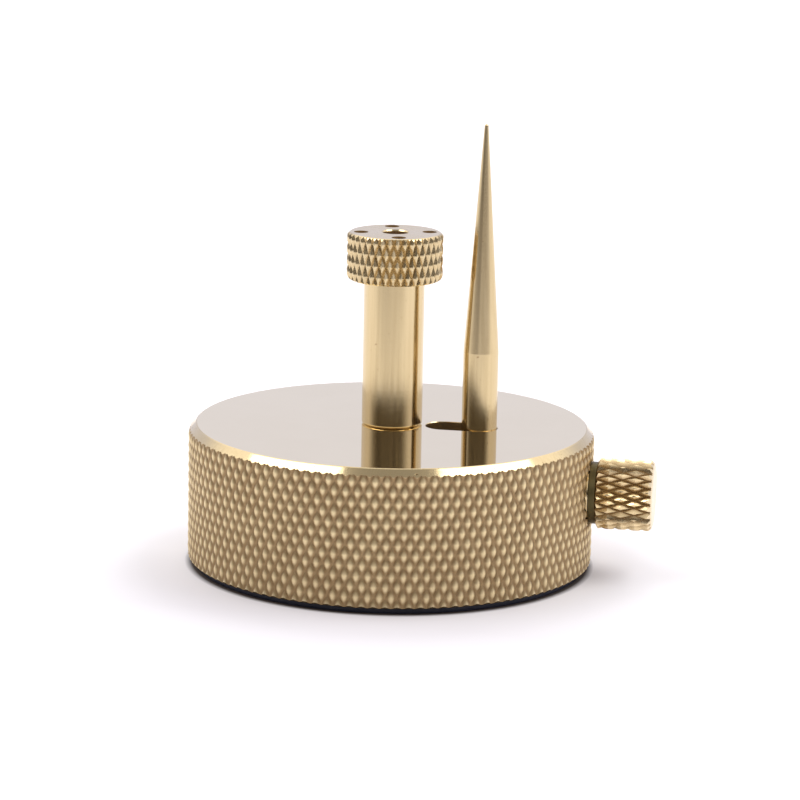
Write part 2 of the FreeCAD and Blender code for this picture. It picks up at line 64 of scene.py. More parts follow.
BASE_RADIUS = base_high.y
FOOT = base_low.z
TOP = base_high.z
COLUMN_RADIUS = column_high.x
HEAD_RADIUS = head_high.x
HEAD_FOOT = head_low.z
HEAD_TOP = head_high.z
PIN_RADIUS = pin_high.y
PIN_X = (pin_low.x + pin_high.x) / 2
KNOB_RADIUS = knob_high.y
KNOB_END = knob_high.x
AXIS_Z = (knob_low.z + knob_high.z) / 2

# Gaps of a running and of a close fit, and the small bevel on a turned edge.
RUNNING = 0.03 * MM
CLOSE = 0.02 * MM
EDGE = 0.06 * MM

# Base: chamfers, slot, the block's pad that stands in the slot, and the spot face round the knob's neck.
TOP_CHAMFER = 0.8 * MM
FOOT_CHAMFER = 0.25 * MM
SLOT_CLEARANCE = 0.055 * MM
SLOT_TO_COLUMN = 0.4 * MM
BLOCK_PAD = 1.4 * MM
SPOT_RADIUS = 3.2 * MM
SPOT_DEPTH = 0.5 * MM

# Column and lead screw: journals of one size, the column's spigot, and the M3 threads and shaft.
JOURNAL_RADIUS = 2.0 * MM
SPIGOT_RADIUS = 2.2 * MM
M3_RADIUS = 1.5 * MM

# Knob: its neck, and its grub screw's place past the neck.
NECK_RADIUS = 3.05 * MM
NECK_END = BASE_RADIUS + 0.5 * MM
GRUB_RADIUS = 1.0 * MM
GRUB_STATION = 2.4 * MM

# Head: chamfer, first row of diamonds below the top, centre hole, and small holes on a circle.
HEAD_CHAMFER = 0.28 * MM
HEAD_FIRST_ROW = 0.57 * MM
CENTRE_HOLE_RADIUS = 1.25 * MM
SMALL_HOLE_RADIUS = 0.7 * MM
SMALL_HOLE_DEPTH = 3.2 * MM
SMALL_HOLE_CIRCLE = 3.35 * MM
SMALL_HOLE_COUNT = 4
FIRST_HOLE_TURN = math.radians(14.8)
SMALL_HOLES = [
    (SMALL_HOLE_CIRCLE * math.cos(turn), SMALL_HOLE_CIRCLE * math.sin(turn))
    for turn in [FIRST_HOLE_TURN + index * TAU / SMALL_HOLE_COUNT for index in range(SMALL_HOLE_COUNT)]
]

# The camera looks from the front, a little from the right and from above.
CAMERA_AIM = Vector((0.24, 3.46, 15.57)) * MM
CAMERA_AZIMUTH = math.radians(8.79)
CAMERA_ELEVATION = math.radians(12.39)
CAMERA_ROLL = math.radians(1.144)
CAMERA_DISTANCE = 332.4 * MM
CAMERA_LENS = 150.5

# The dim side of the room is a little to the left of the camera, and the floor's painted shade is darkest
# further left.
DIM_TURN = CAMERA_AZIMUTH - math.radians(14)
DIM_SIDE = (math.sin(DIM_TURN), -math.cos(DIM_TURN), 0)
DARKEST_TURN = DIM_TURN - math.radians(30)


# ---------------------------------------------------------------- meshes

def mesh_object(name, vertices, faces):
    mesh = bpy.data.meshes.new(name)
    mesh.from_pydata(vertices, [], faces)
    mesh.update()
    thing = bpy.data.objects.new(name, mesh)
    bpy.context.scene.collection.objects.link(thing)
    return thing


def lathe(name, profile, segments=256):
    """A closed solid turned about Z from (radius, height) points; a radius of 0 is a point on the axis."""
    vertices, rings = [], []
    for radius, height in profile:
        if radius == 0:
            rings.append([len(vertices)] * segments)
            vertices.append((0, 0, height))
            continue
        rings.append(list(range(len(vertices), len(vertices) + segments)))
        for index in range(segments):
            turn = TAU * index / segments
            vertices.append((radius * math.cos(turn), radius * math.sin(turn), height))
    faces = []
    closed = profile[0][0] != 0
    pairs = list(zip(rings, rings[1:]))
    if closed:
        pairs.append((rings[-1], rings[0]))
    for lower, upper in pairs:
        for index in range(segments):
            after = (index + 1) % segments
            corners = [lower[index], lower[after], upper[after], upper[index]]
            face = list(dict.fromkeys(corners))
            if len(face) > 2:
                faces.append(face)
    return mesh_object(name, vertices, faces)


def zigzag(value):
    """1 halfway between whole numbers and 0 at them, in straight lines."""
    share = value % 1.0
    return 1 - abs(2 * share - 1)


def raised(left, right):
    """Diamonds that stand up, rounded on top, with sharp grooves between them."""
    return math.sin(left * math.pi / 2) * math.sin(right * math.pi / 2)


def blunt(left, right):
    """Diamonds with sloping sides and a level land on top."""
    return min(1.0, 1.3 * min(left, right))


# starts is the number of grooves of each family, period a diamond's height along the rod, and fine the
# number of steps in half a diamond. shape turns the lattice's two 0 to 1 heights into a share of depth.
Knurl = namedtuple("Knurl", "starts period depth shape fine")
RIM_KNURL = Knurl(starts=112, period=2.02 * MM, depth=0.24 * MM, shape=raised, fine=4)
HEAD_KNURL = Knurl(starts=37, period=2.2 * MM, depth=0.28 * MM, shape=blunt, fine=8)
KNOB_KNURL = Knurl(starts=25, period=2.6 * MM, depth=0.34 * MM, shape=blunt, fine=8)


def knurled_rod(name, radius, low, high, knurl, shift):
    """A closed rod about Z whose side is a diamond knurl, cut by two families of helical grooves.

    A row of the diamonds' crests lies at the height shift.
    """
    starts, period, depth, shape, fine = knurl
    columns = 2 * starts * fine
    step = period / 2 / fine
    first = math.floor((low - shift) / step)
    last = math.ceil((high - shift) / step)
    heights = [min(max(shift + step * row, low), high) for row in range(first, last + 1)]
    vertices = []
    for height in heights:
        along = (height - shift) / period
        for column in range(columns):
            around = column / (2 * fine)
            left, right = zigzag(around + along), zigzag(around - along)
            reach = radius - depth * (1 - shape(left, right))
            turn = TAU * column / columns
            vertices.append((reach * math.cos(turn), reach * math.sin(turn), height))
    faces = []
    for row in range(len(heights) - 1):
        for column in range(columns):
            after = (column + 1) % columns
            a, b = row * columns + column, row * columns + after
            c, d = b + columns, a + columns
            middle_along = (heights[row] + heights[row + 1] - 2 * shift) / 2 / period
            middle_around = (column + 0.5) / (2 * fine)
            left = zigzag(middle_around + middle_along)
            right = zigzag(middle_around - middle_along)
            if left < right:
                faces += [(a, b, d), (b, c, d)]
            else:
                faces += [(a, b, c), (a, c, d)]
    top = (len(heights) - 1) * columns
    faces.append(tuple(reversed(range(columns))))
    faces.append(tuple(range(top, top + columns)))
    return mesh_object(name, vertices, faces)


def cylinder(name, radius, start, end, segments=96, axis="Z", centre=(0, 0)):
    """A plain cutter along Z or X, through centre on the two other axes."""
    rod = lathe(name, [(0, start), (radius, start), (radius, end), (0, end)], segments)
    if axis == "X":
        rod.data.transform(Matrix.Rotation(math.pi / 2, 4, "Y"))
        rod.data.transform(Matrix.Translation((0, centre[0], centre[1])))
    else:
        rod.data.transform(Matrix.Translation((centre[0], centre[1], 0)))
    return rod


def slab(name, low, high):
    """A plain box between two corners."""
    across, along, up = zip(low, high)
    corners = [(x, y, z) for z in up for y in along for x in across]
    faces = [(0, 2, 3, 1), (4, 5, 7, 6), (0, 1, 5, 4), (2, 6, 7, 3), (0, 4, 6, 2), (1, 3, 7, 5)]
    return mesh_object(name, corners, faces)


def combine(thing, operation, others):
    """Applies one boolean per other solid, then removes the others."""
    for other in others:
        modifier = thing.modifiers.new("cut", "BOOLEAN")
        modifier.operation = operation
        modifier.solver = "MANIFOLD"
        modifier.object = other
        graph = bpy.context.evaluated_depsgraph_get()
        result = bpy.data.meshes.new_from_object(thing.evaluated_get(graph))
        thing.modifiers.clear()
        old = thing.data
        thing.data = result
        bpy.data.meshes.remove(old)
        bpy.data.objects.remove(other)


def tidy_mesh(thing, angle=30):
    """Welds doubles and smooths shading, with edges over the angle and round turned bands kept sharp.

    A turned band's edge has one face that looks well up or down and one that looks less so.
    """
    weld = 0.0001 * MM
    well_up = 0.65
    step_down = 0.08
    shape = bmesh.new()
    shape.from_mesh(thing.data)
    bmesh.ops.remove_doubles(shape, verts=shape.verts, dist=weld)
    bmesh.ops.recalc_face_normals(shape, faces=shape.faces)
    for face in shape.faces:
        face.smooth = True
    for edge in shape.edges:
        slopes = sorted(abs(face.normal.z) for face in edge.link_faces)
        turned = len(slopes) == 2 and slopes[1] > well_up and slopes[1] - slopes[0] > step_down
        edge.smooth = not turned and edge.calc_face_angle(math.pi) < math.radians(angle)
    shape.to_mesh(thing.data)
    shape.free()


# ---------------------------------------------------------------- pieces

def slot_cutter(levels):
    """The round-ended slot, as a solid through (height, half width) levels."""
    inner_x = COLUMN_RADIUS + SLOT_TO_COLUMN + PIN_RADIUS + SLOT_CLEARANCE
    half_turn = 48
    vertices, rings = [], []
    for height, half_width in levels:
        rings.append(list(range(len(vertices), len(vertices) + 2 * (half_turn + 1))))
        for centre_x, start in ((PIN_X, -math.pi / 2), (inner_x, math.pi / 2)):
            for index in range(half_turn + 1):
                turn = start + math.pi * index / half_turn
                x = centre_x + half_width * math.cos(turn)
                vertices.append((x, half_width * math.sin(turn), height))
    faces = []
    for lower, upper in zip(rings, rings[1:]):
        for index in range(len(lower)):
            after = (index + 1) % len(lower)
            faces.append((lower[index], lower[after], upper[after], upper[index]))
    faces.append(tuple(reversed(rings[0])))
    faces.append(tuple(rings[-1]))
    return mesh_object("slot_cutter", vertices, faces)


def build_base():
    """Base with a diamond-knurled rim, chamfered top, slot, and the cavities that hold the mechanism."""
    past = 0.4 * MM
    rim = knurled_rod("base", BASE_RADIUS, FOOT - past, TOP + past, RIM_KNURL, FOOT)
    turned = lathe("turned", [
        (0, FOOT),
        (BASE_RADIUS - FOOT_CHAMFER, FOOT),
        (BASE_RADIUS + past, FOOT + FOOT_CHAMFER + past),
        (BASE_RADIUS + past, TOP - TOP_CHAMFER - past),
        (BASE_RADIUS - TOP_CHAMFER + EDGE, TOP - EDGE),
        (BASE_RADIUS - TOP_CHAMFER - EDGE, TOP),
        (0, TOP),
    ], RIM_KNURL.starts * RIM_KNURL.fine)
    combine(rim, "INTERSECT", [turned])

    half_slot = PIN_RADIUS + SLOT_CLEARANCE
    slot = slot_cutter([
        (block_low.z, half_slot),
        (TOP - EDGE, half_slot),
        (TOP + EDGE, half_slot + 2 * EDGE),
    ])
    channel_low = (COLUMN_RADIUS + SLOT_TO_COLUMN, block_low.y - RUNNING, FOOT - past)
    channel_high = (washer_high.x + RUNNING, block_high.y + RUNNING, block_high.z - BLOCK_PAD)
    channel = slab("channel", channel_low, channel_high)
    on_axis = {"axis": "X", "centre": (0, AXIS_Z)}
    spot = cylinder("spot", SPOT_RADIUS, BASE_RADIUS - SPOT_DEPTH, BASE_RADIUS + past, **on_axis)
    journal = cylinder("journal", JOURNAL_RADIUS + RUNNING, block_high.x, BASE_RADIUS, **on_axis)
    recess = cylinder("recess", cover_high.x + CLOSE, FOOT - past, cover_high.z, segments=192)
    seat = cylinder("seat", SPIGOT_RADIUS + CLOSE, column_low.z, TOP + past)
    combine(rim, "DIFFERENCE", [slot, channel, spot, journal, recess, seat])
    tidy_mesh(rim)
    return rim


def build_head():
    """Head with a coarse diamond knurl, a countersunk centre hole, a ring groove and small holes."""
    past = 0.2 * MM
    second_row = HEAD_TOP - HEAD_FIRST_ROW - HEAD_KNURL.period / 2
    head = knurled_rod("head", HEAD_RADIUS, HEAD_FOOT - past, HEAD_TOP + past, HEAD_KNURL, second_row)
    turned = lathe("turned", [
        (0, HEAD_FOOT),
        (HEAD_RADIUS - HEAD_CHAMFER, HEAD_FOOT),
        (HEAD_RADIUS + past, HEAD_FOOT + HEAD_CHAMFER + past),
        (HEAD_RADIUS + past, HEAD_TOP - HEAD_CHAMFER - past),
        (HEAD_RADIUS - HEAD_CHAMFER + EDGE, HEAD_TOP - EDGE),
        (HEAD_RADIUS - HEAD_CHAMFER - EDGE, HEAD_TOP),
        (0, HEAD_TOP),
    ], HEAD_KNURL.starts * HEAD_KNURL.fine)
    combine(head, "INTERSECT", [turned])
    combine(head, "DIFFERENCE", [centre_cutter(past)] + [small_hole_cutter(x, y) for x, y in SMALL_HOLES])
    tidy_mesh(head)
    return head


def centre_cutter(past):
    """The head's bore for the column's journal, with its ring groove, and the countersunk hole above it."""
    bore = JOURNAL_RADIUS + RUNNING
    groove = ring_high.x + RUNNING
    bore_end = column_high.z + 2 * RUNNING
    sink = 0.12 * MM
    over = 0.09 * MM
    return lathe("centre", [
        (0, HEAD_FOOT - past),
        (bore, HEAD_FOOT - past),
        (bore, ring_low.z - RUNNING),
        (groove, ring_low.z - RUNNING),
        (groove, ring_high.z + RUNNING),
        (bore, ring_high.z + RUNNING),
        (bore, bore_end),
        (CENTRE_HOLE_RADIUS, bore_end),
        (CENTRE_HOLE_RADIUS, HEAD_TOP - sink),
        (CENTRE_HOLE_RADIUS + sink + over, HEAD_TOP + over),
        (0, HEAD_TOP + over),
    ], segments=96)


def small_hole_cutter(x, y):
    """One of the head's small blind holes, with its edge just broken."""
    bottom = HEAD_TOP - SMALL_HOLE_DEPTH
    over = 0.05 * MM
    lip = 0.02 * MM
    hole = lathe("hole", [
        (0, bottom),
        (SMALL_HOLE_RADIUS, bottom),
        (SMALL_HOLE_RADIUS, HEAD_TOP - over),
        (SMALL_HOLE_RADIUS + lip, HEAD_TOP + over),
        (0, HEAD_TOP + over),
    ], segments=64)
    hole.data.transform(Matrix.Translation((x, y, 0)))
    return hole


def build_knob():
    """Knob with a coarse diamond knurl, bevelled at its ends, and its plain neck, along the stand's X."""
    past = 0.2 * MM
    lap = 0.1 * MM
    end_gap = 0.1 * MM
    segments = KNOB_KNURL.starts * KNOB_KNURL.fine
    knob = knurled_rod("knob", KNOB_RADIUS, NECK_END - past, KNOB_END + past, KNOB_KNURL, NECK_END)
    combine(knob, "INTERSECT", [knob_envelope(past, segments)])
    neck_edge = 0.05 * MM
    neck = lathe("neck", [
        (0, knob_low.x),
        (NECK_RADIUS - neck_edge, knob_low.x),
        (NECK_RADIUS, knob_low.x + neck_edge),
        (NECK_RADIUS, NECK_END + lap),
        (0, NECK_END + lap),
    ], segments)
    combine(knob, "UNION", [neck])
    shaft = cylinder("shaft", M3_RADIUS + CLOSE, knob_low.x - past, screw_high.x + end_gap)
    combine(knob, "DIFFERENCE", [shaft])
    knob.data.transform(Matrix.Rotation(math.pi / 2, 4, "Y"))
    knob.data.transform(Matrix.Translation((0, 0, AXIS_Z)))
    grub_centre = (NECK_END + GRUB_STATION, 0)
    grub_foot = AXIS_Z - KNOB_RADIUS - past
    grub = cylinder("grub", GRUB_RADIUS + CLOSE, grub_foot, AXIS_Z, segments=64, centre=grub_centre)
    combine(knob, "DIFFERENCE", [grub])
    tidy_mesh(knob, angle=12)
    return knob


def knob_envelope(past, segments):
    """The turned outline of the knob's ends: one bevel at the neck, and three at the outer end."""
    inner_cut = 0.45 * MM
    inner_reach = 0.4 * MM
    step = 0.1 * MM
    return lathe("turned", [
        (0, NECK_END),
        (KNOB_RADIUS - inner_cut, NECK_END),
        (KNOB_RADIUS + past, NECK_END + inner_reach),
        (KNOB_RADIUS + past, KNOB_END - 5.5 * step),
        (KNOB_RADIUS - step, KNOB_END - 3 * step),
        (KNOB_RADIUS - 3 * step, KNOB_END - step),
        (KNOB_RADIUS - 6 * step, KNOB_END),
        (0, KNOB_END),
    ], segments)


def build_column():
    """Column with its spigot, chamfered foot, shoulder, grooved journal and blind holes."""
    foot = 0.2 * MM
    shoulder = HEAD_FOOT - RUNNING
    groove_middle = shoulder + 1.2 * MM
    groove_reach = 0.2 * MM
    groove_radius = 1.75 * MM
    blind_radius = 1.5 * MM
    blind_end = column_high.z - 4.0 * MM
    tapped_radius = M3_RADIUS + CLOSE
    tapped_end = column_low.z + 6.0 * MM
    column = lathe("column", [
        (tapped_radius, column_low.z),
        (SPIGOT_RADIUS - foot, column_low.z),
        (SPIGOT_RADIUS, column_low.z + foot),
        (SPIGOT_RADIUS, TOP),
        (COLUMN_RADIUS - foot, TOP),
        (COLUMN_RADIUS - 0.1 * foot, TOP + 0.8 * foot),
        (COLUMN_RADIUS, TOP + 1.2 * foot),
        (COLUMN_RADIUS, shoulder - EDGE),
        (COLUMN_RADIUS - EDGE, shoulder),
        (JOURNAL_RADIUS, shoulder),
        (JOURNAL_RADIUS, groove_middle - groove_reach),
        (groove_radius, groove_middle),
        (JOURNAL_RADIUS, groove_middle + groove_reach),
        (JOURNAL_RADIUS, column_high.z),
        (blind_radius, column_high.z),
        (blind_radius, blind_end),
        (0, blind_end),
        (0, tapped_end),
        (tapped_radius, tapped_end),
    ])
    tidy_mesh(column, angle=10)
    return column


def build_pin():
    """Taper pin: stub, plain part and a long cone with a rounded tip."""
    stub_radius = 1.0 * MM
    stub_chamfer = 0.1 * MM
    plain_end = TOP + 7.65 * MM
    tip = 0.2 * MM
    tip_steps = 6
    seat = block_high.z
    dome = [
        (tip * math.cos(turn), pin_high.z - tip + tip * math.sin(turn))
        for turn in [math.pi / 2 * step / tip_steps for step in range(tip_steps)]
    ]
    pin = lathe("pin", [
        (0, pin_low.z),
        (stub_radius - stub_chamfer, pin_low.z),
        (stub_radius, pin_low.z + stub_chamfer),
        (stub_radius, seat),
        (PIN_RADIUS - EDGE, seat),
        (PIN_RADIUS, seat + EDGE),
        (PIN_RADIUS, plain_end),
        *dome,
        (0, pin_high.z),
    ], segments=192)
    pin.data.transform(Matrix.Translation((PIN_X, 0, 0)))
    tidy_mesh(pin, angle=3)
    return pin


def build_pad():
    """Pad with slightly rounded edges."""
    radius = pad_high.x
    edge = 0.12 * MM
    pad = lathe("pad", [
        (0, pad_low.z),
        (radius - edge, pad_low.z),
        (radius - 0.3 * edge, pad_low.z + 0.3 * edge),
        (radius, pad_low.z + edge),
        (radius, pad_high.z - edge),
        (radius - 0.3 * edge, pad_high.z - 0.3 * edge),
        (radius - edge, pad_high.z),
        (0, pad_high.z),
    ])
    tidy_mesh(pad)
    return pad


# ---------------------------------------------------------------- materials

class Nodes:
    """A new node material with its Principled shader, and short calls that add nodes."""

    def __init__(self, name):
        self.material = bpy.data.materials.new(name)
        self.material.use_nodes = True
        self.tree = self.material.node_tree
        self.shader = next(node for node in self.tree.nodes if node.type == "BSDF_PRINCIPLED")

    def add(self, kind, **values):
        node = self.tree.nodes.new(kind)
        for name, value in values.items():
            setattr(node, name, value)
        return node

    def link(self, source, target):
        self.tree.links.new(source, target)

    def math(self, operation, first, second=0.0, clamp=False):
        """The result of one sum over numbers or outputs."""
        node = self.add("ShaderNodeMath", operation=operation, use_clamp=clamp)
        for socket, value in zip(node.inputs, (first, second)):
            if isinstance(value, (int, float)):
                socket.default_value = value
            else:
                self.link(value, socket)
        return node.outputs[0]

    def place(self, stretch=(1, 1, 1)):
        """The point in the piece's own space, stretched."""
        mapping = self.add("ShaderNodeMapping")
        mapping.inputs["Scale"].default_value = stretch
        self.link(self.add("ShaderNodeTexCoord").outputs["Object"], mapping.inputs["Vector"])
        return mapping.outputs[0]

    def noise(self, place, scale, detail=3.0):
        """Noise from 0 to 1, with scale cells to a metre."""
        node = self.add("ShaderNodeTexNoise")
        node.inputs["Scale"].default_value = scale
        node.inputs["Detail"].default_value = detail
        node.inputs["Roughness"].default_value = 0.55
        self.link(place, node.inputs["Vector"])
        return node.outputs["Fac"]

    def ramp(self, value, low, high, start, end):
        """value from low..high to start..end, clamped."""
        node = self.add("ShaderNodeMapRange")
        for name, number in (("From Min", low), ("From Max", high), ("To Min", start), ("To Max", end)):
            node.inputs[name].default_value = number
        self.link(value, node.inputs["Value"])
        return node.outputs["Result"]

    def blend(self, share, first, second):
        """A colour between two colours or colour outputs."""
        node = self.add("ShaderNodeMix", data_type="RGBA")
        self.link(share, node.inputs["Factor"])
        for name, value in (("A", first), ("B", second)):
            socket = next(item for item in node.inputs if item.name == name and item.type == "RGBA")
            if isinstance(value, tuple):
                socket.default_value = (*value, 1.0)
            else:
                self.link(value, socket)
        return next(item for item in node.outputs if item.type == "RGBA")

    def colour(self, output):
        self.link(output, self.shader.inputs["Base Color"])

    def rough(self, output):
        self.link(output, self.shader.inputs["Roughness"])

    def bump(self, height, strength, distance):
        node = self.add("ShaderNodeBump")
        node.inputs["Strength"].default_value = strength
        node.inputs["Distance"].default_value = distance
        self.link(height, node.inputs["Height"])
        self.link(node.outputs["Normal"], self.shader.inputs["Normal"])


BRASS = (0.62, 0.48, 0.265)
BRASS_PALE = (0.69, 0.55, 0.32)
BRASS_DEEP = (0.36, 0.24, 0.11)
# Painted shade: the brown of the holes' walls stands for the shade inside them.
BORE_SHADE_BROWN = (0.50, 0.33, 0.16)
BRASS_TOP = (0.84, 0.72, 0.50)
TOP_HAZE = (0.82, 0.70, 0.48)
# Knurl crest and groove colours; the groove colours are partly oxide and partly painted shade in the
# grooves.
RIM_CREST = (0.80, 0.65, 0.38)
RIM_GROOVE = (0.36, 0.25, 0.13)
HEAD_GROOVE = (0.60, 0.46, 0.26)
KNOB_CREST = (0.84, 0.66, 0.38)
KNOB_GROOVE = (0.36, 0.24, 0.12)
END_PALE = (0.80, 0.67, 0.44)
END_PLAIN = (0.76, 0.62, 0.39)
# Painted shade: the knob's neck is coloured almost black for the shade between the base's rim and the knob.
NECK_SHADE_PALE = (0.14, 0.11, 0.05)
NECK_SHADE_PLAIN = (0.10, 0.08, 0.035)
STEEL_DARK = (0.50, 0.50, 0.52)
STEEL_PALE = (0.66, 0.66, 0.68)
RUBBER_DARK = (0.012, 0.014, 0.028)
RUBBER_PALE = (0.022, 0.025, 0.045)


def metal(name):
    """A new material's nodes, with the shader set to metal."""
    nodes = Nodes(name)
    nodes.shader.inputs["Metallic"].default_value = 1.0
    return nodes


def depth_below(nodes, radius, reach, along_x=False):
    """0 at the crests and 1 at reach below them, for a surface turned about Z or about the knob's axis."""
    split = nodes.add("ShaderNodeSeparateXYZ")
    nodes.link(nodes.place(), split.inputs[0])
    first = split.outputs["Y"]
    second = nodes.math("SUBTRACT", split.outputs["Z"], AXIS_Z) if along_x else split.outputs["X"]
    squares = nodes.math("ADD", nodes.math("MULTIPLY", first, first), nodes.math("MULTIPLY", second, second))
    return nodes.ramp(nodes.math("SQRT", squares), radius, radius - reach, 0.0, 1.0)


def knurled_brass(name, radius, depth, crest, groove, rough, dull=0.7, along_x=False):
    """Brass, burnished on the knurl's crests and darker towards the grooves, fully dark at the dull share of
    depth below them: the groove colour is partly oxide in the grooves and partly painted shade.

    rough is the roughness at the crests and at depth below them.
    """
    nodes = metal(name)
    below = depth_below(nodes, radius, depth, along_x)
    cloud = nodes.noise(nodes.place(), 420.0)
    grain = nodes.noise(nodes.place(), 9000.0, 2.0)
    stain = nodes.ramp(cloud, 0.3, 0.7, -0.1, 0.1)
    # Darker with depth below the crests, partly oxide and partly painted shade, plus random stains.
    groove_oxide_and_shade = nodes.math("ADD", nodes.ramp(below, 0.1, dull, 0.0, 1.0), stain, clamp=True)
    nodes.colour(nodes.blend(groove_oxide_and_shade, crest, groove))
    tooth = nodes.ramp(grain, 0.3, 0.7, -0.04, 0.06)
    nodes.rough(nodes.math("ADD", nodes.ramp(below, 0.0, 1.0, *rough), tooth))
    nodes.bump(grain, 0.25, 0.01 * MM)
    return nodes.material


def polished_top():
    """Lapped and polished brass, with the faintest haze and a few fine marks."""
    nodes = metal("polished_top")
    cloud = nodes.noise(nodes.place(), 160.0)
    marks = nodes.noise(nodes.place((1.0, 14.0, 1.0)), 900.0, 2.0)
    nodes.colour(nodes.blend(nodes.ramp(cloud, 0.3, 0.7, 0.0, 1.0), BRASS_TOP, TOP_HAZE))
    haze = nodes.ramp(cloud, 0.3, 0.7, 0.03, 0.06)
    nodes.rough(nodes.math("ADD", haze, nodes.ramp(marks, 0.62, 0.8, 0.0, 0.05)))
    return nodes.material


def turned_brass(name, rough, pale=BRASS_PALE, plain=BRASS):
    """Turned brass, drawn along Z, with fine tool rings and small pits."""
    nodes = metal(name)
    drawn = nodes.noise(nodes.place((1.0, 1.0, 0.03)), 2600.0, 3.0)
    rings = nodes.noise(nodes.place((0.02, 0.02, 1.0)), 9000.0, 2.0)
    pits = nodes.noise(nodes.place(), 2400.0, 1.0)
    pitted = nodes.ramp(pits, 0.74, 0.8, 0.0, 1.0)
    tone = nodes.blend(nodes.ramp(drawn, 0.2, 0.8, 0.0, 1.0), pale, plain)
    nodes.colour(nodes.blend(pitted, tone, BRASS_DEEP))
    nodes.rough(nodes.ramp(drawn, 0.3, 0.7, rough - 0.02, rough + 0.04))
    nodes.shader.inputs["Anisotropic"].default_value = 0.6
    nodes.shader.inputs["Anisotropic Rotation"].default_value = 0.25
    relief = nodes.math("SUBTRACT", nodes.math("MULTIPLY", rings, 0.3), pitted)
    nodes.bump(relief, 0.35, 0.01 * MM)
    return nodes.material


def drilled_shaded_brass():
    """Walls of drilled holes, dull, and painted a darker brown as shade inside the holes."""
    nodes = metal("drilled_shaded_brass")
    rings = nodes.noise(nodes.place((0.05, 0.05, 1.0)), 6000.0, 2.0)
    nodes.colour(nodes.blend(rings, BORE_SHADE_BROWN, BRASS_DEEP))
    nodes.rough(nodes.ramp(rings, 0.3, 0.7, 0.4, 0.6))
    return nodes.material


def steel():
    """Plain ground steel of the screws, washers and rings."""
    nodes = metal("plain_steel")
    grain = nodes.noise(nodes.place((1.0, 1.0, 0.1)), 3000.0)
    nodes.colour(nodes.blend(grain, STEEL_DARK, STEEL_PALE))
    nodes.rough(nodes.ramp(grain, 0.3, 0.7, 0.25, 0.4))
    return nodes.material


def pad_rubber():
    """Dark blue-black sheet rubber with a fine grain."""
    nodes = Nodes("pad_rubber")
    grain = nodes.noise(nodes.place(), 5200.0, 4.0)
    cloud = nodes.noise(nodes.place(), 300.0)
    nodes.colour(nodes.blend(cloud, RUBBER_DARK, RUBBER_PALE))
    nodes.rough(nodes.ramp(grain, 0.3, 0.7, 0.5, 0.75))
    nodes.bump(grain, 0.4, 0.02 * MM)
    return nodes.material


def paint(thing, *materials):
    thing.data.materials.clear()
    for material in materials:
        thing.data.materials.append(material)


def paint_turned(thing, top_index, chamfer_index):
    """Gives a knurled piece's level top and its turned chamfers the materials with these indices."""
    level = 0.99
    chamfer_from, chamfer_to = 0.6, 0.95
    for face in thing.data.polygons:
        slope = face.normal.z
        if slope > level and face.center.z > TOP - EDGE:
            face.material_index = top_index
        elif chamfer_from < abs(slope) < chamfer_to:
            face.material_index = chamfer_index


def paint_knob(thing, end_index, neck_shade_index):
    """Gives the knob's outer end face, with the bevels round it, and its neck their materials; the neck's
    material is painted dark as shade between the base's rim and the knob.
    """
    outward = 0.3
    bevels = 0.35 * MM
    within = 0.01 * MM
    for face in thing.data.polygons:
        if face.normal.x > outward and face.center.x > KNOB_END - bevels:
            face.material_index = end_index
        elif face.center.x < NECK_END - within:
            face.material_index = neck_shade_index


def paint_bores(thing, bores, wall_index):
    """Gives the walls of upright holes, each (x, y, radius), the material with this index."""
    upright = 0.5
    near = 0.02 * MM
    for face in thing.data.polygons:
        if abs(face.normal.z) > upright:
            continue
        for x, y, radius in bores:
            if abs(math.hypot(face.center.x - x, face.center.y - y) - radius) < near:
                face.material_index = wall_index


# ---------------------------------------------------------------- the object

turned = turned_brass("turned_brass", rough=0.17)
pin_brass = turned_brass("pin_brass", rough=0.16)
chamfer_brass = turned_brass("chamfer_brass", rough=0.12)
end_brass = turned_brass("end_brass", rough=0.3, pale=END_PALE, plain=END_PLAIN)
# The knob's neck: turned brass with painted shade, near black.
neck_shaded_brass = turned_brass("neck_shaded_brass", rough=0.4, pale=NECK_SHADE_PALE, plain=NECK_SHADE_PLAIN)
plain_steel = steel()
rim_brass = knurled_brass(
    "base_knurl", BASE_RADIUS, depth=RIM_KNURL.depth, crest=RIM_CREST, groove=RIM_GROOVE,
    rough=(0.4, 0.5), dull=0.65)
head_brass = knurled_brass(
    "head_knurl", HEAD_RADIUS, depth=0.4 * MM, crest=BRASS_PALE, groove=HEAD_GROOVE,
    rough=(0.24, 0.28))
knob_brass = knurled_brass(
    "knob_knurl", KNOB_RADIUS, depth=0.5 * MM, crest=KNOB_CREST, groove=KNOB_GROOVE,
    rough=(0.2, 0.35), along_x=True)

base = build_base()
paint(base, rim_brass, polished_top(), chamfer_brass)
paint_turned(base, top_index=1, chamfer_index=2)

head = build_head()
paint(head, head_brass, turned, chamfer_brass, drilled_shaded_brass())
paint_turned(head, top_index=1, chamfer_index=2)
# The holes' walls get the brass painted darker for the shade inside the holes.
head_holes = [(0, 0, CENTRE_HOLE_RADIUS)] + [(x, y, SMALL_HOLE_RADIUS) for x, y in SMALL_HOLES]
paint_bores(head, head_holes, wall_index=3)

knob = build_knob()
paint(knob, knob_brass, end_brass, neck_shaded_brass)
paint_knob(knob, end_index=1, neck_shade_index=2)

column = build_column()
paint(column, turned)
pin = build_pin()
paint(pin, pin_brass)
pad = build_pad()
paint(pad, pad_rubber())

for piece, body, node, slot in (
    (base, "stand", "base_body", "knurled_brass"),
    (head, "head", "turret_head", "knurled_brass"),
    (knob, "knob_screw", "adjusting_knob", "knurled_brass"),
    (column, "stand", "column_post", "turned_brass"),
    (pin, "pin_slider", "taper_pin", "turned_brass"),
    (pad, "stand", "rubber_pad", "rubber"),
):
    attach(piece, body)
    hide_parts(node)

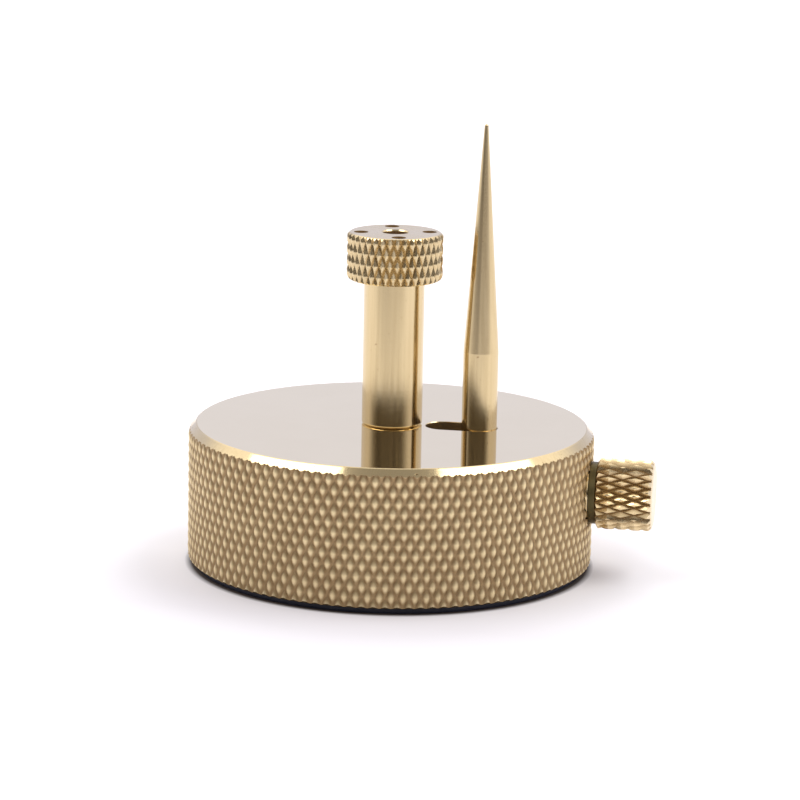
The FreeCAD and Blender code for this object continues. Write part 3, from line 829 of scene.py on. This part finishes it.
BRASS_NODES = ("slider_block", "bottom_cover", "thrust_washer")
STEEL_NODES = (
    "adjusting_screw", "retaining_clip", "clip_washer", "head_ring", "knob_grub_screw", "column_screw",
    "cover_screws",
)
for name in BRASS_NODES:
    paint(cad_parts[name], turned)
for name in STEEL_NODES:
    paint(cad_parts[name], plain_steel)


# ---------------------------------------------------------------- stage

FLOOR_WHITE = (0.88, 0.87, 0.90)
FLOOR_CLOUD = (0.86, 0.85, 0.88)
# Painted shade on the floor: greyer in front of the stand and darker far off on the room's dim side.
FLOOR_FRONT_SHADOW = (0.70, 0.68, 0.71)
FLOOR_DIM_SHADE = (0.60, 0.59, 0.61)
FLOOR_FAR_SHADE = (0.28, 0.27, 0.28)
# Painted contact shadow round the pad.
FLOOR_CONTACT_SHADOW = (0.10, 0.08, 0.07)
ROOM_LOW = (0.84, 0.853, 1.0)
ROOM_HIGH = (1.5, 1.48, 1.5)
DIM_LOW = (0.06, 0.05, 0.043)
DIM_HIGH = (1.0, 0.98, 0.98)
ROOM_TOP = (0.40, 0.39, 0.39)
UP = (0, 0, 1)

BOX_ELEVATION = math.radians(59)
BOX_DISTANCE = 1.0
BOX_SIZE = (0.6, 0.5)
BOX_POWER = 3.0


def build_floor():
    """Wide white sheet, with a dark painted contact shadow close round the pad, and greyer in front of it on
    the room's dim side as painted shadow and shade.
    """
    nodes = Nodes("floor_white")

    def towards(turn):
        """How far a point lies from the stand in one level direction."""
        dot = nodes.add("ShaderNodeVectorMath", operation="DOT_PRODUCT")
        dot.inputs[1].default_value = (math.sin(turn), -math.cos(turn), 0)
        nodes.link(nodes.place(), dot.inputs[0])
        return dot.outputs["Value"]

    length = nodes.add("ShaderNodeVectorMath", operation="LENGTH")
    nodes.link(nodes.place(), length.inputs[0])
    away = length.outputs["Value"]
    forward = towards(DIM_TURN)
    aside = nodes.math("DIVIDE", towards(DARKEST_TURN), away)

    white = nodes.blend(nodes.noise(nodes.place(), 6.0), FLOOR_CLOUD, FLOOR_WHITE)
    # Painted shadow in front of the stand, then painted shade far off on the dim side.
    near = nodes.ramp(away, 26 * MM, 45 * MM, 1.0, 0.0)
    ahead = nodes.ramp(forward, 3 * MM, 22 * MM, 0.0, 1.0)
    sheet = nodes.blend(nodes.math("MULTIPLY", near, ahead), white, FLOOR_FRONT_SHADOW)
    distant = nodes.ramp(forward, 150 * MM, 300 * MM, 0.0, 1.0)
    far = nodes.math("MULTIPLY", distant, nodes.ramp(aside, 0.86, 0.96, 0.0, 1.0))
    dim = nodes.blend(far, FLOOR_DIM_SHADE, FLOOR_FAR_SHADE)
    shaded_floor = nodes.blend(nodes.ramp(forward, 70 * MM, 125 * MM, 0.0, 1.0), sheet, dim)
    # Painted contact shadow: near black on the floor close round the pad.
    clear = nodes.ramp(away, pad_high.x + 0.3 * MM, pad_high.x + 1.0 * MM, 0.0, 1.0)
    nodes.colour(nodes.blend(clear, FLOOR_CONTACT_SHADOW, shaded_floor))
    nodes.shader.inputs["Roughness"].default_value = 0.9
    nodes.shader.inputs["Specular IOR Level"].default_value = 0.2

    reach = 6.0
    corners = [(-reach, -reach, 0), (reach, -reach, 0), (reach, reach, 0), (-reach, reach, 0)]
    floor = mesh_object("floor", corners, [(0, 1, 2, 3)])
    paint(floor, nodes.material)


def towards_sky(turn, rise):
    """The direction that is turned from -Y towards +X, and raised."""
    return Vector((math.sin(turn) * math.cos(rise), -math.cos(turn) * math.cos(rise), math.sin(rise)))


def soft_box(name, azimuth):
    """A soft box that faces the stand. Its azimuth is turned from the camera's side, towards +X."""
    light = bpy.data.lights.new(name, "AREA")
    light.shape = "RECTANGLE"
    light.size, light.size_y = BOX_SIZE
    light.energy = BOX_POWER
    lamp = bpy.data.objects.new(name, light)
    bpy.context.scene.collection.objects.link(lamp)
    away = towards_sky(CAMERA_AZIMUTH + azimuth, BOX_ELEVATION)
    lamp.location = Vector((0, 0, TOP)) + away * BOX_DISTANCE
    lamp.rotation_mode = "QUATERNION"
    lamp.rotation_quaternion = away.to_track_quat("Z", "Y")


def build_world():
    """Soft room: bright behind and high up, dim overhead and low down on the camera's side."""
    world = bpy.data.worlds.new("studio")
    bpy.context.scene.world = world
    world.use_nodes = True
    tree = world.node_tree
    background = tree.nodes["Background"]
    direction = tree.nodes.new("ShaderNodeTexCoord").outputs["Generated"]

    def along(axis, start, end):
        """0 where the direction's share of an axis is start, 1 where it is end, smooth between."""
        dot = tree.nodes.new("ShaderNodeVectorMath")
        dot.operation = "DOT_PRODUCT"
        dot.inputs[1].default_value = axis
        tree.links.new(direction, dot.inputs[0])
        share = tree.nodes.new("ShaderNodeMapRange")
        share.interpolation_type = "SMOOTHSTEP"
        share.inputs["From Min"].default_value = start
        share.inputs["From Max"].default_value = end
        tree.links.new(dot.outputs["Value"], share.inputs["Value"])
        return share.outputs["Result"]

    def blended(share, first, second):
        mix = tree.nodes.new("ShaderNodeMix")
        mix.data_type = "RGBA"
        tree.links.new(share, mix.inputs[0])
        for socket, value in zip([item for item in mix.inputs if item.type == "RGBA"], (first, second)):
            if isinstance(value, tuple):
                socket.default_value = (*value, 1)
            else:
                tree.links.new(value, socket)
        return next(item for item in mix.outputs if item.type == "RGBA")

    behind = blended(along(UP, 0.3, 0.6), ROOM_LOW, ROOM_HIGH)
    front = blended(along(UP, 0.3, 0.5), DIM_LOW, DIM_HIGH)
    sides = blended(along(DIM_SIDE, 0.0, 0.7), behind, front)
    room = blended(along(UP, 0.88, 0.97), sides, ROOM_TOP)
    tree.links.new(room, background.inputs["Color"])


def build_camera():
    camera = bpy.data.objects.new("camera", bpy.data.cameras.new("camera"))
    bpy.context.scene.collection.objects.link(camera)
    camera.data.lens = CAMERA_LENS
    camera.data.sensor_width = 36.0
    camera.data.clip_start = 0.01
    camera.data.clip_end = 20.0
    back = towards_sky(CAMERA_AZIMUTH, CAMERA_ELEVATION)
    level = Vector((math.cos(CAMERA_AZIMUTH), math.sin(CAMERA_AZIMUTH), 0))
    right = level * math.cos(CAMERA_ROLL) + back.cross(level) * math.sin(CAMERA_ROLL)
    up = back.cross(right)
    axes = Matrix((right, up, back)).transposed().to_4x4()
    camera.matrix_world = Matrix.Translation(CAMERA_AIM + back * CAMERA_DISTANCE) @ axes
    bpy.context.scene.camera = camera


build_floor()
build_world()
soft_box("left_box", math.radians(-91))
soft_box("right_box", math.radians(91))
build_camera()
bpy.context.scene.view_settings.view_transform = "Standard"
